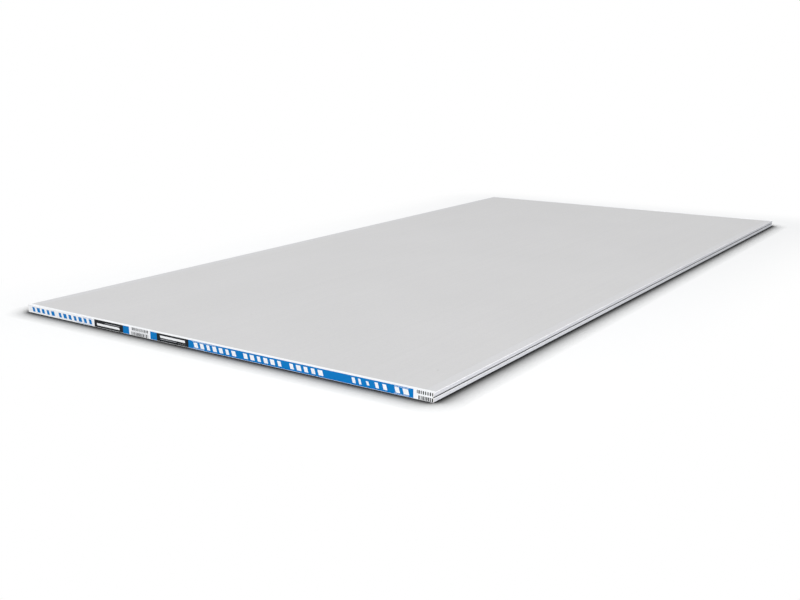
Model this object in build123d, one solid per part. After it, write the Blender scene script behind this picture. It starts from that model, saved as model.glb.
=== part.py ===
from build123d import *
import os

# A pair of gypsum boards with tapered long edges. The boards lie face to face, backs outwards,
# and a paper tape folded round each end holds them together.
# X runs across the boards, Y along them and Z up. The origin is under the middle of the pair,
# on the surface that it lies on.

# One board, in millimetres: 8 ft by 4 ft by 3/8 in
board_length = 2438.4
board_width = 1219.2
board_thickness = 9.525

# Long edges: the face slopes down towards the edge, and the paper turns round both corners
taper_width = 63.5
taper_depth = 1.1
face_corner_radius = 1.5
back_corner_radius = 1.2

# End tape: a strip of paper over both sawn ends, with a flap glued down on each outer face
tape_thickness = 0.2
tape_flap = 9.5
tape_setback = 1.5

# Where things come together
pair_thickness = 2 * board_thickness
joint_height = tape_thickness + board_thickness
tape_length = board_width - 2 * tape_setback


def board_section():
    """Section across a board whose flat back is up and whose face, at height 0, is down."""
    half_width = board_width / 2
    left_side = [
        (-half_width, board_thickness),
        (-half_width, taper_depth),
        (-half_width + taper_width, 0),
    ]
    right_side = [(-x, z) for x, z in reversed(left_side)]
    section = make_face(Plane.XZ * Polyline(*left_side, *right_side, close=True))
    back_corners = section.vertices().group_by(Axis.Z)[-1]
    section = fillet(back_corners, back_corner_radius)
    face_corners = section.vertices().group_by(Axis.Z)[1]
    return fillet(face_corners, face_corner_radius)


def face_down_board():
    """One board, with its face at height 0 and its back above."""
    return extrude(board_section(), amount=board_length / 2, both=True)


def upper_board():
    return Pos(0, 0, joint_height) * face_down_board()


def lower_board():
    return Pos(0, 0, joint_height) * mirror(face_down_board(), about=Plane.XY)


def tape_section():
    """Section across a folded tape. Its first direction runs inwards from the tape's outside."""
    from_outside = (Align.MIN, Align.CENTER)
    outside = Rectangle(tape_thickness + tape_flap, pair_thickness + 2 * tape_thickness, align=from_outside)
    outside = fillet(outside.vertices().group_by(Axis.X)[0], tape_thickness)
    boards = Pos(tape_thickness, 0) * Rectangle(tape_flap, pair_thickness, align=from_outside)
    return outside - boards


def front_tape():
    """Tape round the front end of the pair. Its fold has the same wall all the way round."""
    outside_middle = (0, -board_length / 2 - tape_thickness, joint_height)
    fold_plane = Plane(origin=outside_middle, x_dir=(0, 1, 0), z_dir=(1, 0, 0))
    return extrude(fold_plane * tape_section(), amount=tape_length / 2, both=True)


def back_tape():
    return mirror(front_tape(), about=Plane.XZ)


# One file for each piece
pieces = {
    "board_upper": upper_board(),
    "board_lower": lower_board(),
    "end_tape_front": front_tape(),
    "end_tape_back": back_tape(),
}
os.makedirs("parts", exist_ok=True)
for name, piece in pieces.items():
    export_step(piece, f"parts/{name}.step")
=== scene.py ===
import bmesh
import bpy
import math
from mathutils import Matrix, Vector


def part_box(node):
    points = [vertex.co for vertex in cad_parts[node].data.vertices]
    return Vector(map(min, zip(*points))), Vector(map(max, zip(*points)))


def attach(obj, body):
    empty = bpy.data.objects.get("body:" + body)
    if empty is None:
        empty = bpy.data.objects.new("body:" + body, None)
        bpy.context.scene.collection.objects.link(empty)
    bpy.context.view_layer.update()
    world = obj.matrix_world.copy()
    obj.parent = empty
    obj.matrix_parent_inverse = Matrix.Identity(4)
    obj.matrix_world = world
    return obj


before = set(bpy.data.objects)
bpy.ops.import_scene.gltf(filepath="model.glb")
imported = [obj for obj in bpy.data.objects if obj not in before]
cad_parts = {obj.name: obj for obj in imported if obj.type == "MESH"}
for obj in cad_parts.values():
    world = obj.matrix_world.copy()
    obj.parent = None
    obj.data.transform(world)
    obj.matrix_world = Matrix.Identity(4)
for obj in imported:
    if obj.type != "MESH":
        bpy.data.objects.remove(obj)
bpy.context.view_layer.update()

# Real sizes, in metres, read from the frame
mm = 0.001
board_low, board_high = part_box("board_upper")
tape_low, tape_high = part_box("end_tape_front")
half_width = board_high.x
half_length = board_high.y
pair_top = board_high.z
joint_height = board_low.z
board_thickness = pair_top - joint_height
tape_length = tape_high.x - tape_low.x
tape_height = tape_high.z - tape_low.z

# How far the face paper, turned round the long edges, laps onto a board's back
lap_width = 25 * mm

# A small mark on the upper board's back, near its front right corner
nick_place = (half_width - 68 * mm, 123 * mm - half_length, pair_top)
nick_radius = 3 * mm


def srgb(red, green, blue):
    """A screen colour, 0 to 255, as the linear colour that a shader takes."""
    def linear(value):
        share = value / 255
        return share / 12.92 if share <= 0.04045 else ((share + 0.055) / 1.055) ** 2.4
    return (linear(red), linear(green), linear(blue), 1.0)


# Colours of a board
back_grey = srgb(209, 208, 208)
light_fibre = srgb(238, 237, 233)
dark_fibre = srgb(150, 149, 146)
back_speck = srgb(122, 118, 112)
lap_line = srgb(150, 150, 150)
edge_white = srgb(221, 222, 227)
edge_speck = srgb(140, 141, 146)
# Painted highlight colour, laid on the upper arrises of the boards
highlight_white = srgb(252, 252, 254)
# Painted shade colour for the groove between the boards
seam_shade_grey = srgb(120, 120, 122)
nick_grey = srgb(150, 150, 148)
gypsum = srgb(236, 233, 226)
gypsum_pore = srgb(176, 172, 164)

# Colours of an end tape. An ink's second colour is the paper showing through it.
tape_white = srgb(243, 244, 246)
tape_fibre = srgb(214, 212, 206)
ink_colours = {
    "blue": (srgb(0, 119, 192), srgb(120, 180, 220)),
    "dark": (srgb(33, 35, 37), srgb(96, 98, 102)),
    "grey": (srgb(158, 160, 164), srgb(205, 206, 208)),
}

# Colours of the studio
white = (1.0, 1.0, 1.0, 1.0)
black = (0.0, 0.0, 0.0, 1.0)
floor_grey = (0.74, 0.74, 0.74, 1.0)
sky_tint = (0.97, 0.985, 1.0, 1.0)


def each_way(size):
    return (size, size, size)


class Nodes:
    """One node tree. A method that adds a node returns its output, for the next one to take."""

    def __init__(self, tree):
        self.nodes = tree.nodes
        self.links = tree.links

    def feed(self, socket, value):
        """Sets a socket to a number or colour, or links it to another node's output."""
        if isinstance(value, bpy.types.NodeSocket):
            self.links.new(value, socket)
        else:
            socket.default_value = value

    def math(self, operation, *values):
        node = self.nodes.new("ShaderNodeMath")
        node.operation = operation
        for socket, value in zip(node.inputs, values):
            self.feed(socket, value)
        return node.outputs[0]

    def both(self, first, second):
        return self.math("MULTIPLY", first, second)

    def either(self, first, second):
        return self.math("MAXIMUM", first, second)

    def total(self, first, *others):
        for other in others:
            first = self.math("ADD", first, other)
        return first

    def ray(self, kind):
        """1 for rays of that kind and 0 for the others."""
        return self.nodes.new("ShaderNodeLightPath").outputs[kind]

    def mix_shaders(self, share, first, second):
        """The first shader where share is 0 and the second where it is 1."""
        node = self.nodes.new("ShaderNodeMixShader")
        for socket, value in zip(node.inputs, (share, first, second)):
            self.links.new(value, socket)
        return node.outputs[0]


class Material(Nodes):
    """One material's nodes, with textures that are laid out in metres in the shared frame."""

    def __init__(self, name):
        self.material = bpy.data.materials.new(name)
        self.material.use_nodes = True
        super().__init__(self.material.node_tree)
        self.surface = self.nodes["Principled BSDF"]
        self.place = self.nodes.new("ShaderNodeTexCoord").outputs["Object"]

    def split(self, vector):
        node = self.nodes.new("ShaderNodeSeparateXYZ")
        self.feed(node.inputs[0], vector)
        return node.outputs

    def stretched(self, vector, sizes, turn=0.0):
        """Coordinates in which a feature of those sizes, turned about Z, is one unit each way."""
        rotate = self.nodes.new("ShaderNodeVectorRotate")
        rotate.rotation_type = "Z_AXIS"
        self.feed(rotate.inputs["Vector"], vector)
        rotate.inputs["Angle"].default_value = math.radians(turn)
        scale = self.nodes.new("ShaderNodeVectorMath")
        scale.operation = "DIVIDE"
        self.feed(scale.inputs[0], rotate.outputs[0])
        scale.inputs[1].default_value = sizes
        return scale.outputs[0]

    def noise(self, sizes, turn=0.0, detail=3.0, roughness=0.5, distortion=0.0):
        """Noise from 0 to 1 with features of those sizes, turned about Z."""
        node = self.nodes.new("ShaderNodeTexNoise")
        self.feed(node.inputs["Vector"], self.stretched(self.place, sizes, turn))
        node.inputs["Scale"].default_value = 1.0
        node.inputs["Detail"].default_value = detail
        node.inputs["Roughness"].default_value = roughness
        node.inputs["Distortion"].default_value = distortion
        return node.outputs["Fac"]

    def spots(self, vector, radius, share):
        """Spots of that radius, in units of their spacing, at that share of scattered points."""
        node = self.nodes.new("ShaderNodeTexVoronoi")
        self.feed(node.inputs["Vector"], vector)
        node.inputs["Scale"].default_value = 1.0
        number = self.split(node.outputs["Color"])[0]
        spot = self.rise(node.outputs["Distance"], radius, 0.6 * radius)
        return self.both(spot, self.math("LESS_THAN", number, share))

    def flecks(self, spacing, radius, share):
        """Round spots that far apart, their radius a share of that."""
        return self.spots(self.stretched(self.place, each_way(spacing)), radius, share)

    def fibres(self, turn):
        """Single paper fibres lying one way: long thin spots with a little waviness."""
        wave = self.noise(each_way(4 * mm), detail=2.0)
        shifted = self.nodes.new("ShaderNodeVectorMath")
        shifted.operation = "ADD"
        self.feed(shifted.inputs[0], self.place)
        self.feed(shifted.inputs[1], self.swing(wave, 2 * mm))
        lying = self.stretched(shifted.outputs[0], (5 * mm, 0.9 * mm, 5 * mm), turn)
        return self.spots(lying, radius=0.26, share=0.35)

    def rise(self, value, start, end):
        """0 at start and 1 at end, with a smooth slope between them."""
        node = self.nodes.new("ShaderNodeMapRange")
        node.interpolation_type = "SMOOTHSTEP"
        self.feed(node.inputs["Value"], value)
        node.inputs["From Min"].default_value = start
        node.inputs["From Max"].default_value = end
        return node.outputs["Result"]

    def nearing(self, value, limit, start, end):
        """0 where value is start or more short of the limit, and 1 once it is only end short of it."""
        return self.rise(value, limit - start, limit - end)

    def band(self, value, start, full, last, end):
        """0 up to start, 1 from full to last, and 0 again from end."""
        return self.both(self.rise(value, start, full), self.rise(value, end, last))

    def swing(self, value, amount):
        """A noise value, which lies about 0.5, as a small change either way."""
        return self.math("MULTIPLY", self.math("SUBTRACT", value, 0.5), 2 * amount)

    def tone(self, *swings):
        """About 1, with a small change either way from each noise, given with its amount."""
        return self.total(1.0, *[self.swing(noise, amount) for noise, amount in swings])

    def blend(self, share, first, second, mode="MIX"):
        """The first colour where share is 0, the second, or the two multiplied, where it is 1."""
        node = self.nodes.new("ShaderNodeMix")
        node.data_type = "RGBA"
        node.blend_type = mode
        # A Mix node has its share at 0, its two colours at 6 and 7, and its mixed colour at output 2
        for index, value in ((0, share), (6, first), (7, second)):
            self.feed(node.inputs[index], value)
        return node.outputs[2]

    def shade(self, colour, tone):
        return self.blend(1.0, colour, tone, "MULTIPLY")

    def over(self, base, cover, share, strength=1.0):
        """The base colour, with the cover laid over it where share is 1, at that strength."""
        return self.blend(self.both(share, strength), base, cover)

    def relief(self, depth, *heights):
        """Bumps of that depth, in metres, from heights of 0 to 1, each given with its share."""
        node = self.nodes.new("ShaderNodeBump")
        node.inputs["Strength"].default_value = 1.0
        node.inputs["Distance"].default_value = depth
        height = self.total(*[self.both(part, share) for part, share in heights])
        self.feed(node.inputs["Height"], height)
        self.links.new(node.outputs["Normal"], self.surface.inputs["Normal"])

    def finish(self, colour, roughness, specular):
        self.feed(self.surface.inputs["Base Color"], colour)
        self.feed(self.surface.inputs["Roughness"], roughness)
        self.surface.inputs["Specular IOR Level"].default_value = specular
        return self.material


class Board(Material):
    """A board: grey paper on its back, whiter paper round its long edges, gypsum at its sawn ends."""

    def __init__(self):
        super().__init__("board_paper")
        x, y, z = self.split(self.place)
        self.out_x = self.math("ABSOLUTE", x)
        self.out_y = self.math("ABSOLUTE", y)
        self.above_joint = self.math("SUBTRACT", z, joint_height)
        self.out_z = self.math("ABSOLUTE", self.above_joint)
        self.mottle = self.noise(each_way(320 * mm))
        self.cloud = self.noise(each_way(7 * mm), roughness=0.6)
        self.grain = self.noise(each_way(1.1 * mm), roughness=0.65)
        self.light_fibres = self.either(self.fibres(25), self.fibres(100))
        self.pores = self.flecks(0.9 * mm, radius=0.25, share=0.6)
        self.into_lap = self.past_lap_line()
        self.lap = self.rise(self.into_lap, -0.2 * mm, 0.2 * mm)
        self.sawn = self.math("GREATER_THAN", self.out_y, half_length - 0.01 * mm)
        self.nick = self.near_nick()

    def past_lap_line(self):
        """How far outwards a point is from the lap's slightly wavering inner edge."""
        waver = self.swing(self.noise((500 * mm, 80 * mm, 500 * mm), detail=2.0), 0.9 * mm)
        return self.math("SUBTRACT", self.total(self.out_x, waver), half_width - lap_width)

    def near_nick(self):
        node = self.nodes.new("ShaderNodeVectorMath")
        node.operation = "DISTANCE"
        self.feed(node.inputs[0], self.place)
        node.inputs[1].default_value = nick_place
        return self.rise(node.outputs["Value"], nick_radius, nick_radius / 3)

    def edge_paper(self):
        """The smoother and whiter face paper, which is turned round the long edges."""
        streaks = self.noise((20 * mm, 120 * mm, 0.7 * mm))
        tone = self.tone(
            (self.mottle, 0.02),
            (streaks, 0.06),
            (self.cloud, 0.09),
            (self.grain, 0.07),
        )
        specks = self.flecks(3.2 * mm, radius=0.13, share=0.30)
        return self.over(self.shade(edge_white, tone), edge_speck, specks, strength=0.28)

    def back_paper(self, edge_paper):
        """Grey recycled paper with fibres and specks, through which the lap shows faintly."""
        roll_streaks = self.noise((9 * mm, 900 * mm, 50 * mm))
        tone = self.tone(
            (self.mottle, 0.030),
            (roll_streaks, 0.022),
            (self.cloud, 0.035),
            (self.grain, 0.050),
        )
        dark_fibres = self.either(self.fibres(64), self.fibres(152))
        specks = self.flecks(11 * mm, radius=0.055, share=0.55)
        paper = self.shade(back_grey, tone)
        paper = self.over(paper, light_fibre, self.light_fibres, strength=0.16)
        paper = self.over(paper, dark_fibre, dark_fibres, strength=0.14)
        paper = self.over(paper, back_speck, specks, strength=0.40)
        line = self.band(self.into_lap, start=-0.9 * mm, full=-0.1 * mm, last=-0.1 * mm, end=0.2 * mm)
        paper = self.over(paper, edge_paper, self.lap, strength=0.22)
        return self.over(paper, lap_line, line, strength=0.16)

    def arris_highlight(self):
        """Painted highlight along the upper arris of each board, where light from above falls on the
        rounded edge, in patches that also stand for paper worn white.
        """
        patches = self.rise(self.noise((60 * mm, 50 * mm, 60 * mm), detail=4.0), 0.42, 0.62)
        patchiness = self.total(0.65, self.both(patches, 0.35))
        upper = self.nearing(self.above_joint, board_thickness, start=1.4 * mm, end=0.7 * mm)
        lower = self.band(self.above_joint, start=-3.2 * mm, full=-2.2 * mm, last=-mm, end=0.0)
        at_edge = self.nearing(self.out_x, half_width, start=1.9 * mm, end=1.0 * mm)
        return self.both(self.both(at_edge, self.either(upper, lower)), patchiness)

    def seam_shade(self):
        """Painted shade in the groove between the two boards, except at their sawn ends."""
        return self.both(self.rise(self.out_z, 1.6 * mm, 1.1 * mm),
                         self.math("LESS_THAN", self.out_y, half_length - mm))

    def sawn_end(self, edge_paper):
        """Gypsum with small pores, inside the thin line of the paper skin."""
        core = self.shade(gypsum, self.tone((self.grain, 0.10)))
        core = self.over(core, gypsum_pore, self.pores, strength=0.45)
        skin_above = self.nearing(self.out_z, board_thickness, start=0.45 * mm, end=0.35 * mm)
        skin_beside = self.nearing(self.out_x, half_width, start=0.45 * mm, end=0.35 * mm)
        return self.over(core, edge_paper, self.either(skin_above, skin_beside))

    def whole(self):
        edge_paper = self.edge_paper()
        at_edge = self.nearing(self.out_x, half_width, start=1.4 * mm, end=0.5 * mm)
        colour = self.over(self.back_paper(edge_paper), edge_paper, at_edge)
        # Painted highlight on the upper arrises, partly worn paper
        colour = self.over(colour, highlight_white, self.arris_highlight())
        # Painted shade in the groove between the boards
        colour = self.over(colour, seam_shade_grey, self.seam_shade(), strength=0.7)
        colour = self.over(colour, self.sawn_end(edge_paper), self.sawn)
        colour = self.over(colour, nick_grey, self.nick, strength=0.35)
        self.relief(
            0.10 * mm,
            (self.grain, 0.45),
            (self.cloud, 0.35),
            (self.light_fibres, 0.10),
            (self.lap, 1.2),
            (self.both(self.pores, self.sawn), -1.5),
            (self.nick, -2.0),
        )
        return self.finish(colour, self.total(0.88, self.swing(self.cloud, 0.08)), specular=0.28)


class OnTape(Material):
    """Paper or ink on an end tape, a little wrinkled where it is glued down."""

    def __init__(self, name):
        super().__init__(name)
        self.grain = self.noise(each_way(0.8 * mm), roughness=0.6)

    def wrinkle(self, grain_share):
        """Relief of the paper, with a faint dent where the two boards meet behind it."""
        wrinkles = self.noise((5 * mm, 30 * mm, 50 * mm), turn=8, distortion=0.6)
        from_joint = self.math("ABSOLUTE", self.math("SUBTRACT", self.split(self.place)[2], joint_height))
        dent = self.rise(from_joint, 0.5 * mm, 0.0)
        self.relief(0.12 * mm, (self.grain, grain_share), (wrinkles, 1.1), (dent, -0.5))


def tape_paper():
    """Smooth white paper with a few fibres."""
    paper = OnTape("tape_paper")
    mottle = paper.noise(each_way(50 * mm))
    colour = paper.shade(tape_white, paper.tone((mottle, 0.03), (paper.grain, 0.03)))
    fibres = paper.either(paper.fibres(15), paper.fibres(80))
    colour = paper.over(colour, tape_fibre, fibres, strength=0.08)
    paper.wrinkle(grain_share=0.25)
    return paper.finish(colour, paper.total(0.62, paper.swing(mottle, 0.06)), specular=0.35)


def ink(name, colour, pale):
    """Printing ink: an even film with pinholes that let a little of the paper through."""
    film = OnTape(name)
    cover = film.noise(each_way(40 * mm), detail=4.0)
    pinholes = film.flecks(1.6 * mm, radius=0.10, share=0.45)
    printed = film.shade(colour, film.tone((cover, 0.10), (film.grain, 0.10)))
    printed = film.over(printed, pale, pinholes, strength=0.35)
    film.wrinkle(grain_share=0.2)
    return film.finish(printed, film.total(0.58, film.swing(cover, 0.08)), specular=0.10)


def dress(piece, material):
    piece.data.materials.clear()
    piece.data.materials.append(material)


board_material = Board().whole()
tape_material = tape_paper()
inks = {colour: ink(f"{colour}_ink", *pair) for colour, pair in ink_colours.items()}
inks["white"] = tape_material
for node in ("board_upper", "board_lower"):
    dress(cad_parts[node], board_material)
for node in ("end_tape_front", "end_tape_back"):
    dress(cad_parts[node], tape_material)


# Print on an end tape. Places run from the tape's right end as one faces it, and heights from its foot.
print_margin = 0.6 * mm
print_foot = print_margin
print_head = tape_height - print_margin

# How far a ground and the marks on it stand off the paper, and how far both reach into it
ground_film = 0.04 * mm
mark_film = 0.08 * mm
film_root = 0.03 * mm

# Slanted bars
mark_height = 0.58 * tape_height
mark_slant = 3.2 * mm
mark_corner = 0.7 * mm
light_bar_corner = 1.2 * mm
corner_steps = 3
width_swing = 0.08

# Fine dashes, and upright stripes in two rows. The room is the least that one more of them needs.
dash_height = 0.7 * mm
dash_gap = 1.1 * mm
dash_room = 2 * mm
stripe_room = 1.5 * mm
upper_stripes_foot = 0.62 * tape_height
lower_stripes_head = 0.42 * tape_height

# How fast the sizes of bars, dashes, stripes and gaps vary: the beat from one to the next, in radians,
# and the drift along the tape, in radians a metre
bar_beat = 2.1
bar_drift = 30
dash_beat = 2.3
dash_drift = 40
stripe_beat = 1.7
gap_beat = 2.9

# Fields, from right to left
right_stripes_end = 36 * mm
blue_start = 44 * mm
blue_end = 644 * mm
dark_width = 102 * mm
trim_width = 21 * mm
stripes_width = 56 * mm
paper_gap = 8 * mm


def uneven(least, most, angle):
    """A size that goes up and down between two others as the angle grows."""
    return least + (most - least) * abs(math.sin(angle))


def rounded(points, radius):
    """The outline with each corner turned by a short curve."""
    outline = []
    for index, corner in enumerate(points):
        corner = Vector(corner)
        before = (Vector(points[index - 1]) - corner).normalized() * radius
        after = (Vector(points[(index + 1) % len(points)]) - corner).normalized() * radius
        for step in range(corner_steps + 1):
            share = step / corner_steps
            outline.append(tuple(corner + before * (1 - share) ** 2 + after * share ** 2))
    return outline


class Print:
    """Outlines for each colour, as (place, height) points, and how far each stands off the paper."""

    def __init__(self):
        self.films = {colour: [] for colour in inks}

    def ground(self, colour, start, end):
        """A flat area of ink from head to foot."""
        outline = [(start, print_foot), (end, print_foot), (end, print_head), (start, print_head)]
        self.films[colour].append((outline, ground_film))

    def bar(self, colour, start, end, foot, head, slant=0.0, corner=0.0):
        """A four-sided mark with rounded corners, its head shifted sideways by slant."""
        points = [(start, foot), (end, foot), (end + slant, head), (start + slant, head)]
        self.films[colour].append((rounded(points, corner) if corner else points, mark_film))

    def row(self, colour, start, count, pitch, width, height=mark_height):
        """A row of slanted bars at half height, some a little wider than others."""
        foot = (tape_height - height) / 2
        for index in range(count):
            extra = width_swing * width * math.sin(bar_beat * index + bar_drift * start)
            left = start + index * pitch - extra
            right = start + index * pitch + width + extra
            self.bar(colour, left, right, foot, foot + height, mark_slant, mark_corner)

    def fine_line(self, colour, start, end, height):
        """A line of fine dashes of uneven length. Its height is a share of the tape's."""
        foot = height * tape_height
        place = start
        index = 0
        while place < end - dash_room:
            length = uneven(3 * mm, 7 * mm, dash_beat * index + dash_drift * start)
            self.bar(colour, place, min(place + length, end), foot, foot + dash_height)
            place += length + dash_gap
            index += 1

    def stripes(self, start, end, foot, head, phase):
        """Upright dark stripes of uneven width."""
        place = start
        index = 0
        while place < end - stripe_room:
            width = uneven(1.3 * mm, 3 * mm, stripe_beat * index + phase)
            gap = uneven(1.2 * mm, 2.7 * mm, gap_beat * index + phase + math.pi / 2)
            self.bar("dark", place, min(place + width, end), foot, head)
            place += width + gap
            index += 1

    def two_rows(self, start, end, upper_phase, lower_phase):
        """Two rows of stripes, with bare paper between them."""
        self.stripes(start, end, upper_stripes_foot, print_head, upper_phase)
        self.stripes(start, end, print_foot, lower_stripes_head, lower_phase)

    def blue_field(self):
        self.ground("blue", blue_start, blue_end)
        self.row("white", start=54 * mm, count=2, pitch=20 * mm, width=11 * mm)
        self.fine_line("white", start=54 * mm, end=88 * mm, height=0.86)
        self.fine_line("white", start=54 * mm, end=88 * mm, height=0.10)
        self.row("white", start=104 * mm, count=2, pitch=19 * mm, width=9 * mm)
        self.row("white", start=146 * mm, count=1, pitch=19 * mm, width=7 * mm, height=0.7 * mark_height)
        self.row("white", start=165 * mm, count=2, pitch=15 * mm, width=7 * mm)
        for start, count in ((262 * mm, 5), (371 * mm, 6), (500 * mm, 7)):
            self.row("white", start, count, pitch=19 * mm, width=10.5 * mm)
        self.fine_line("white", start=560 * mm, end=632 * mm, height=0.87)
        self.fine_line("white", start=596 * mm, end=632 * mm, height=0.09)

    def dark_field(self, start, turned=False):
        """A dark field with a light bar and a thin grey one. Turned, it is upside down."""
        end = start + dark_width
        self.ground("dark", start, end)

        def on_field(colour, right, left, foot, head, slant=0.0, corner=0.0):
            """A bar that far in from the field's two ends, its heights as shares of the tape's."""
            if turned:
                right, left, foot, head = left, right, 1 - head, 1 - foot
            foot, head = foot * tape_height, head * tape_height
            self.bar(colour, start + right, end - left, foot, head, slant, corner)

        on_field("white", right=10 * mm, left=12 * mm, foot=0.46, head=0.74, slant=mark_slant / 2,
                 corner=light_bar_corner)
        on_field("grey", right=38 * mm, left=12 * mm, foot=0.26, head=0.33)

    def pale_field(self, start):
        """Blue marks on the bare paper."""
        self.row("blue", start, count=7, pitch=19 * mm, width=10.5 * mm)
        self.row("blue", start + 142 * mm, count=5, pitch=19 * mm, width=10.5 * mm)
        self.fine_line("blue", start, start + 60 * mm, height=0.09)
        self.fine_line("blue", start, start + 36 * mm, height=0.87)


def tape_print():
    """The whole print of one tape, from right to left."""
    art = Print()
    art.two_rows(0, right_stripes_end, upper_phase=0.4, lower_phase=2.1)
    art.blue_field()
    art.dark_field(blue_end)
    art.fine_line("grey", start=blue_end + 10 * mm, end=blue_end + 34 * mm, height=0.20)
    first_trim = blue_end + dark_width
    art.ground("blue", first_trim, first_trim + trim_width)
    stripes_start = first_trim + trim_width + paper_gap
    stripes_end = stripes_start + stripes_width
    art.two_rows(stripes_start, stripes_end, upper_phase=1.1, lower_phase=3.0)
    art.fine_line("grey", stripes_start, stripes_end, height=0.50)
    second_trim = stripes_end + paper_gap
    art.ground("blue", second_trim, second_trim + trim_width)
    second_dark = second_trim + trim_width
    art.dark_field(second_dark, turned=True)
    art.pale_field(second_dark + dark_width + paper_gap)
    return art


def print_piece(name, colour, films, face, side):
    """One mesh of all that is printed in one colour on one tape. side is -1 in front and 1 behind."""
    build = bmesh.new()
    for outline, film in films:
        rings = []
        for off in (-film_root, film):
            rings.append([
                build.verts.new((-side * (tape_length / 2 - place), face + side * off, tape_low.z + height))
                for place, height in outline
            ])
        inner, outer = rings
        build.faces.new(outer)
        build.faces.new(inner[::-1])
        for index in range(len(outline)):
            build.faces.new((inner[index - 1], inner[index], outer[index], outer[index - 1]))
    bmesh.ops.recalc_face_normals(build, faces=build.faces[:])
    mesh = bpy.data.meshes.new(name)
    build.to_mesh(mesh)
    build.free()
    piece = bpy.data.objects.new(name, mesh)
    bpy.context.scene.collection.objects.link(piece)
    dress(piece, inks[colour])
    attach(piece, "root")


art = tape_print()
for end, face, side in (("front", tape_low.y, -1), ("back", -tape_low.y, 1)):
    for colour, films in art.films.items():
        print_piece(f"print_{end}_{colour}", colour, films, face, side)


# Floor and background. The floor turns white beyond the reach of the object's shadow.
floor_half = 40.0
floor_glow = 0.25
shadow_reach = 60 * mm
shadow_depth = 6.0
white_from = shadow_reach
white_at = 6 * shadow_reach
sky_strength = 0.50


class Floor(Material):
    """White in the camera's eye, with the object's shadow near it deepened by painted shade."""

    def __init__(self):
        super().__init__("floor")
        self.seen = self.ray("Is Camera Ray")

    def emission(self, strength):
        node = self.nodes.new("ShaderNodeEmission")
        self.feed(node.inputs["Strength"], strength)
        return node.outputs[0]

    def away(self):
        """Distance from the object's outline on the floor."""
        x, y, _ = self.split(self.place)
        past_side = self.either(self.math("SUBTRACT", self.math("ABSOLUTE", x), half_width), 0.0)
        past_end = self.either(self.math("SUBTRACT", self.math("ABSOLUTE", y), half_length), 0.0)
        squares = [self.math("POWER", past, 2.0) for past in (past_side, past_end)]
        return self.math("SQRT", self.total(*squares))

    def shadowed(self):
        """A grey floor with a little glow, both of which fade close to the object: a painted contact
        shadow, from ambient occlusion, on top of the real one, in the camera's eye only.
        """
        shelter = self.nodes.new("ShaderNodeAmbientOcclusion")
        shelter.inputs["Distance"].default_value = shadow_reach
        # Painted shadow: ambient occlusion to a high power darkens the floor's colour and glow near the
        # object
        in_the_open = self.math("POWER", shelter.outputs["AO"], shadow_depth)
        ground = self.nodes.new("ShaderNodeBsdfDiffuse")
        painted_shadow_grey = self.blend(in_the_open, black, floor_grey)
        self.feed(ground.inputs["Color"], self.blend(self.seen, floor_grey, painted_shadow_grey))
        glow = self.emission(self.both(self.seen, self.both(in_the_open, floor_glow)))
        lit = self.nodes.new("ShaderNodeAddShader")
        self.links.new(ground.outputs[0], lit.inputs[0])
        self.links.new(glow, lit.inputs[1])
        return lit.outputs[0]

    def whole(self):
        far = self.both(self.rise(self.away(), white_from, white_at), self.seen)
        mixed = self.mix_shaders(far, self.shadowed(), self.emission(1.0))
        self.links.new(mixed, self.nodes["Material Output"].inputs["Surface"])
        return self.material


def make_floor():
    mesh = bpy.data.meshes.new("floor")
    corners = [(x * floor_half, y * floor_half, 0) for x, y in ((-1, -1), (1, -1), (1, 1), (-1, 1))]
    mesh.from_pydata(corners, [], [(0, 1, 2, 3)])
    floor = bpy.data.objects.new("floor", mesh)
    bpy.context.scene.collection.objects.link(floor)
    dress(floor, Floor().whole())


def make_world():
    """White where it is seen or mirrored, softer where it lights the object."""
    world = bpy.data.worlds.new("studio")
    world.use_nodes = True
    sky = Nodes(world.node_tree)
    light = sky.nodes["Background"]
    light.inputs["Color"].default_value = sky_tint
    light.inputs["Strength"].default_value = sky_strength
    backdrop = sky.nodes.new("ShaderNodeBackground")
    backdrop.inputs["Color"].default_value = white
    backdrop.inputs["Strength"].default_value = 1.0
    seen = sky.either(sky.ray("Is Camera Ray"), sky.ray("Is Glossy Ray"))
    mixed = sky.mix_shaders(seen, light.outputs[0], backdrop.outputs[0])
    sky.links.new(mixed, sky.nodes["World Output"].inputs["Surface"])
    bpy.context.scene.world = world


def aim(thing, location, target):
    """Places a lamp or camera so that it looks at the target."""
    thing.location = location
    thing.rotation_mode = "QUATERNION"
    thing.rotation_quaternion = (Vector(target) - Vector(location)).to_track_quat("-Z", "Y")
    bpy.context.scene.collection.objects.link(thing)


def make_light(name, location, target, size, power):
    data = bpy.data.lights.new(name, "AREA")
    data.shape = "SQUARE"
    data.size = size
    data.energy = power
    aim(bpy.data.objects.new(name, data), location, target)


def make_camera(location, target, lens):
    data = bpy.data.cameras.new("camera")
    data.lens = lens
    data.sensor_width = 36.0
    camera = bpy.data.objects.new("camera", data)
    aim(camera, location, target)
    bpy.context.scene.camera = camera


make_floor()
make_world()
make_light("overhead", location=(0.0, -0.4, 3.4), target=(0.0, -0.4, 0.0), size=4.0, power=63.0)
make_light("front", location=(0.2, -3.6, 0.7), target=(0.0, -1.2, 0.0), size=1.6, power=22.0)
make_light("side", location=(2.6, -1.9, 0.5), target=(0.6, -1.0, 0.0), size=1.0, power=18.0)
make_light("far_side", location=(-3.4, 0.0, 0.7), target=(-0.6, 0.0, 0.0), size=1.6, power=22.0)
make_light("behind", location=(-0.2, 3.6, 0.7), target=(0.0, 1.2, 0.0), size=1.6, power=18.0)
make_camera(location=(1.54, -2.70, 0.625), target=(0.145, -0.648, 0.019), lens=44.4)
bpy.context.scene.view_settings.view_transform = "Standard"
